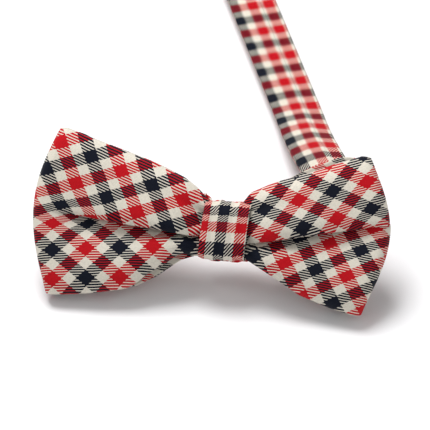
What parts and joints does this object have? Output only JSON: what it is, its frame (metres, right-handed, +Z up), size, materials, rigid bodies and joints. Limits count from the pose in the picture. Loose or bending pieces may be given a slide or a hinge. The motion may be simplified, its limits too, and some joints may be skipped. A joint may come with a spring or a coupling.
{
  "type": "pre-tied bow tie",
  "caption": "Pre-tied bow tie in checked twill: pleated bow, knot wrap and adjustable neckband with slider, hook and eye ring, lying open",
  "frame": {"origin": "centre of the whole part's box, on the surface it stands on", "axes": "+X along the bow to the wearer's left, +Y back along the neckband, +Z up"},
  "size_m": [0.1186, 0.2656, 0.0454],
  "materials": {
    "checked_twill": "cotton twill, red, navy and cream check",
    "interlining": "matt woven interlining",
    "thread": "twisted sewing thread",
    "nickel": "polished nickel plate"
  },
  "bodies": {
    "bow": {"bow_fabric": "checked_twill", "bow_interlining": "interlining", "pinch_thread": "thread", "knot_wrap": "checked_twill", "knot_interlining": "interlining", "knot_stitches": "thread", "neckband": "checked_twill", "band_run": "checked_twill", "eye_fold": "checked_twill", "eye_tack": "thread", "upper_run": "checked_twill"},
    "slider": {"slider": "nickel", "sewn_end": "checked_twill", "lower_run": "checked_twill"},
    "band_end": {"hook_turn": "checked_twill"},
    "hook": {"neck_hook": "nickel"},
    "eye": {"eye_ring": "nickel"}
  },
  "joints": [
    {"name": "slider_slide", "type": "slide", "parent": "bow", "child": "slider", "axis": [-0.3486, 0.9373, 0], "range_m": [-0.025, 0.014], "deforming": ["lower_run"]},
    {"name": "band_end_slide", "type": "slide", "parent": "bow", "child": "band_end", "axis": [-0.3486, 0.9373, 0], "range_m": [-0.0125, 0.007], "deforming": ["upper_run", "lower_run"]},
    {"name": "hook_pivot", "type": "hinge", "parent": "band_end", "child": "hook", "pos_m": [-0.03347, 0.11829, 0.0027], "axis": [0.9373, 0.3486, 0], "range_deg": [-100, 120]},
    {"name": "eye_pivot", "type": "hinge", "parent": "bow", "child": "eye", "pos_m": [-0.0463, -0.06995, 0.0024], "axis": [1, 0, 0], "range_deg": [-100, 120]}
  ],
  "couplings": [
    {"joint": "band_end_slide", "follows": "slider_slide", "ratio": 0.5}
  ]
}
